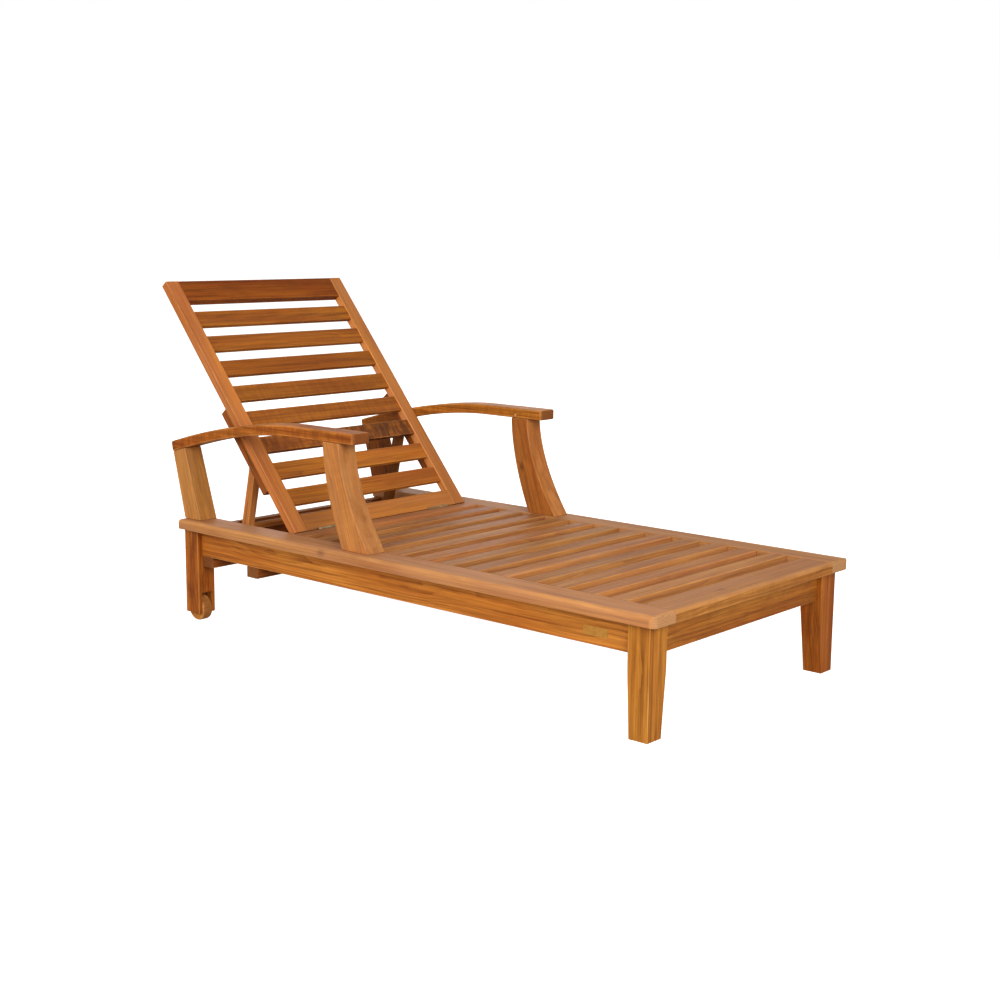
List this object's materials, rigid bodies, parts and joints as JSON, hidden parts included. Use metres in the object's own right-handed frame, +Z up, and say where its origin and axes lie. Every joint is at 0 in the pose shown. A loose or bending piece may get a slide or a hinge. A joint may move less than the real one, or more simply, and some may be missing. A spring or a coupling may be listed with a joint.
{
  "type": "reclining sun lounger",
  "caption": "Slatted timber sun lounger with a hinged, propped backrest, two arched arms, tapered foot legs and two wheels in the rear legs.",
  "frame": {"origin": "on the ground, under the middle of the object's outline at rest", "axes": "+Z up, +Y towards the head end, +X towards the right arm as seen by a person lying on it"},
  "size_m": [0.816, 1.7488, 0.9225],
  "materials": {
    "teak_deck": "satin, lightly weathered top faces",
    "teak_frame": "satin, oiled",
    "teak_back": "satin, oiled",
    "teak_hidden": "sawn, unoiled",
    "brass": "dull, slightly tarnished",
    "steel": "stainless, plain"
  },
  "bodies": {
    "frame": {"cap_rail_left": "teak_deck", "cap_rail_right": "teak_deck", "foot_board": "teak_deck", "hinge_board": "teak_deck", "seat_slat_01": "teak_deck", "seat_slat_02": "teak_deck", "seat_slat_03": "teak_deck", "seat_slat_04": "teak_deck", "seat_slat_05": "teak_deck", "seat_slat_06": "teak_deck", "seat_slat_07": "teak_deck", "seat_slat_08": "teak_deck", "seat_slat_09": "teak_deck", "seat_slat_10": "teak_deck", "seat_slat_11": "teak_deck", "seat_slat_12": "teak_deck", "seat_ledgers": "teak_hidden", "side_apron_left": "teak_frame", "side_apron_right": "teak_frame", "foot_apron": "teak_frame", "head_apron": "teak_hidden", "front_beam": "teak_hidden", "rear_beam": "teak_hidden", "foot_leg_left": "teak_frame", "foot_leg_right": "teak_frame", "rear_leg_left": "teak_frame", "rear_leg_right": "teak_frame", "front_post_left": "teak_frame", "front_post_right": "teak_frame", "rear_post_left": "teak_frame", "rear_post_right": "teak_frame", "arm_left": "teak_frame", "arm_right": "teak_frame", "prop_racks": "teak_hidden", "wheel_axles": "steel", "hinge_fixed_leaves": "brass", "hinge_pins": "steel", "hinge_fixed_screws": "brass", "plain_plate": "brass"},
    "backrest": {"back_stile_left": "teak_back", "back_stile_right": "teak_back", "back_top_rail": "teak_back", "back_bottom_rail": "teak_back", "back_slat_1": "teak_back", "back_slat_2": "teak_back", "back_slat_3": "teak_back", "back_slat_4": "teak_back", "back_slat_5": "teak_back", "back_slat_6": "teak_back", "back_slat_7": "teak_back", "back_slat_8": "teak_back", "back_cleats": "teak_hidden", "prop_pivot_bolts": "steel", "hinge_moving_leaves": "brass", "hinge_moving_screws": "brass"},
    "prop": {"prop_leg_left": "teak_frame", "prop_leg_right": "teak_frame", "prop_foot_bar": "teak_frame"},
    "left_wheel": {"wheel_left": "teak_frame"},
    "right_wheel": {"wheel_right": "teak_frame"}
  },
  "joints": [
    {"name": "recline", "type": "hinge", "parent": "frame", "child": "backrest", "pos_m": [0, 0.33022, 0.2865], "axis": [1, 0, 0], "range_deg": [-47.4, 5]},
    {"name": "prop_swing", "type": "hinge", "parent": "backrest", "child": "prop", "pos_m": [0, 0.54191, 0.48905], "axis": [1, 0, 0], "range_deg": [-52.2, 5.6]},
    {"name": "left_wheel_spin", "type": "hinge", "parent": "frame", "child": "left_wheel", "pos_m": [-0.3609, 0.69032, 0.034], "axis": [1, 0, 0], "continuous": true},
    {"name": "right_wheel_spin", "type": "hinge", "parent": "frame", "child": "right_wheel", "pos_m": [0.3609, 0.69032, 0.034], "axis": [1, 0, 0], "continuous": true}
  ],
  "couplings": [
    {"joint": "prop_swing", "follows": "recline", "ratio": 1.1}
  ]
}
